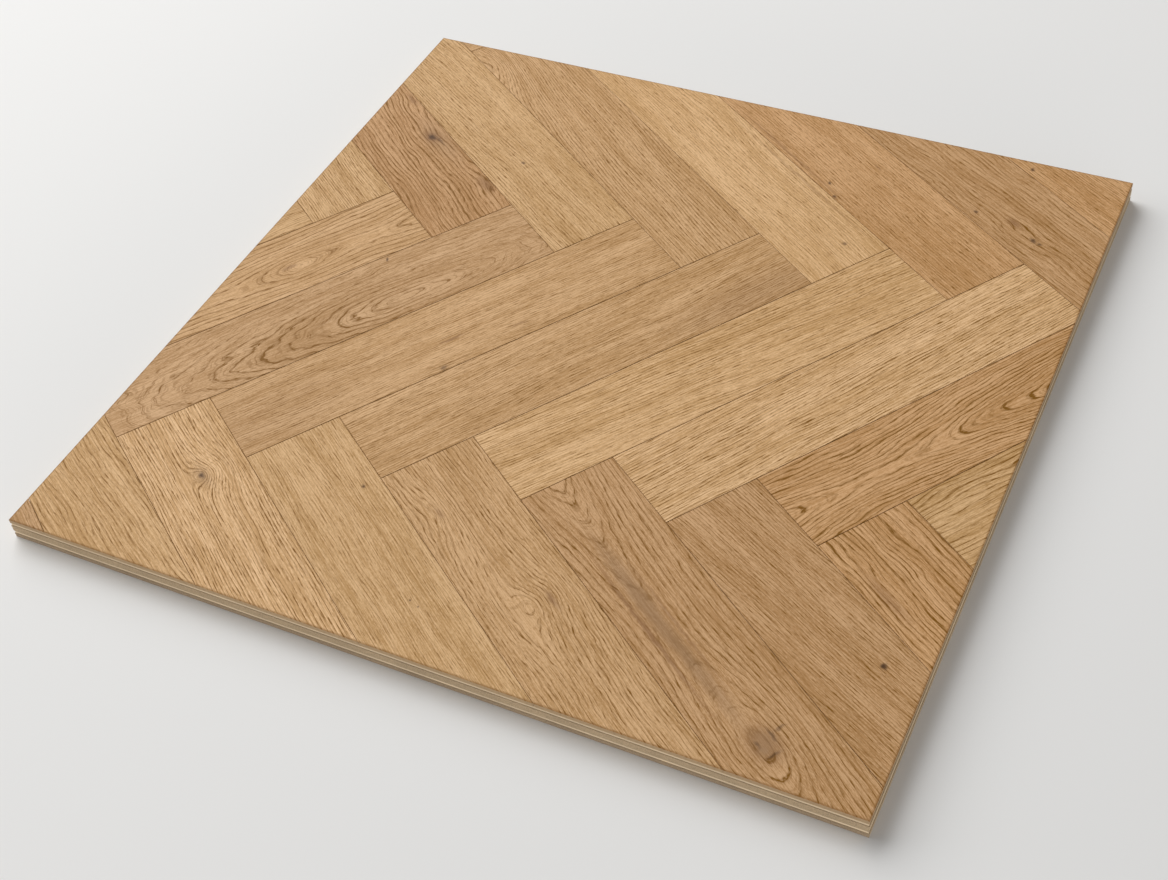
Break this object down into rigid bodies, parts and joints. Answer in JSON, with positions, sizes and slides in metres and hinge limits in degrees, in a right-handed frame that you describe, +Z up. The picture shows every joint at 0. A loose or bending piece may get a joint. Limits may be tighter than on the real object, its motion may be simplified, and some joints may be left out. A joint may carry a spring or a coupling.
{
  "type": "oak parquet panel",
  "caption": "Square parquet floor panel: bevelled oak staves in a diagonal herringbone, glued on a plywood board and sawn flush.",
  "frame": {"origin": "middle of the panel's underside, where it lies on the floor", "axes": "+X along the front sawn edge, +Y from the front edge to the back edge, +Z up out of the wear face"},
  "size_m": [0.78, 0.78, 0.022],
  "materials": {
    "oak": "brushed and oiled solid oak, satin-matt",
    "crossband": "bare pale veneer, sawn edge",
    "board_ply": "bare brown veneer, sawn edge"
  },
  "bodies": {
    "root": {"backing_ply": "board_ply", "core_ply": "board_ply", "lower_crossband": "crossband", "stave_a1_1": "oak", "stave_a1_2": "oak", "stave_a1_3": "oak", "stave_a1_4": "oak", "stave_a1_5": "oak", "stave_a1_6": "oak", "stave_a1_7": "oak", "stave_a1_8": "oak", "stave_a2_1": "oak", "stave_a2_2": "oak", "stave_a2_3": "oak", "stave_a2_4": "oak", "stave_a2_5": "oak", "stave_a2_6": "oak", "stave_a2_7": "oak", "stave_a2_8": "oak", "stave_b0_4": "oak", "stave_b1_1": "oak", "stave_b1_2": "oak", "stave_b1_3": "oak", "stave_b1_4": "oak", "stave_b1_5": "oak", "stave_b1_6": "oak", "stave_b1_7": "oak", "stave_b1_8": "oak", "stave_b1_9": "oak", "upper_crossband": "crossband"}
  },
  "joints": []
}
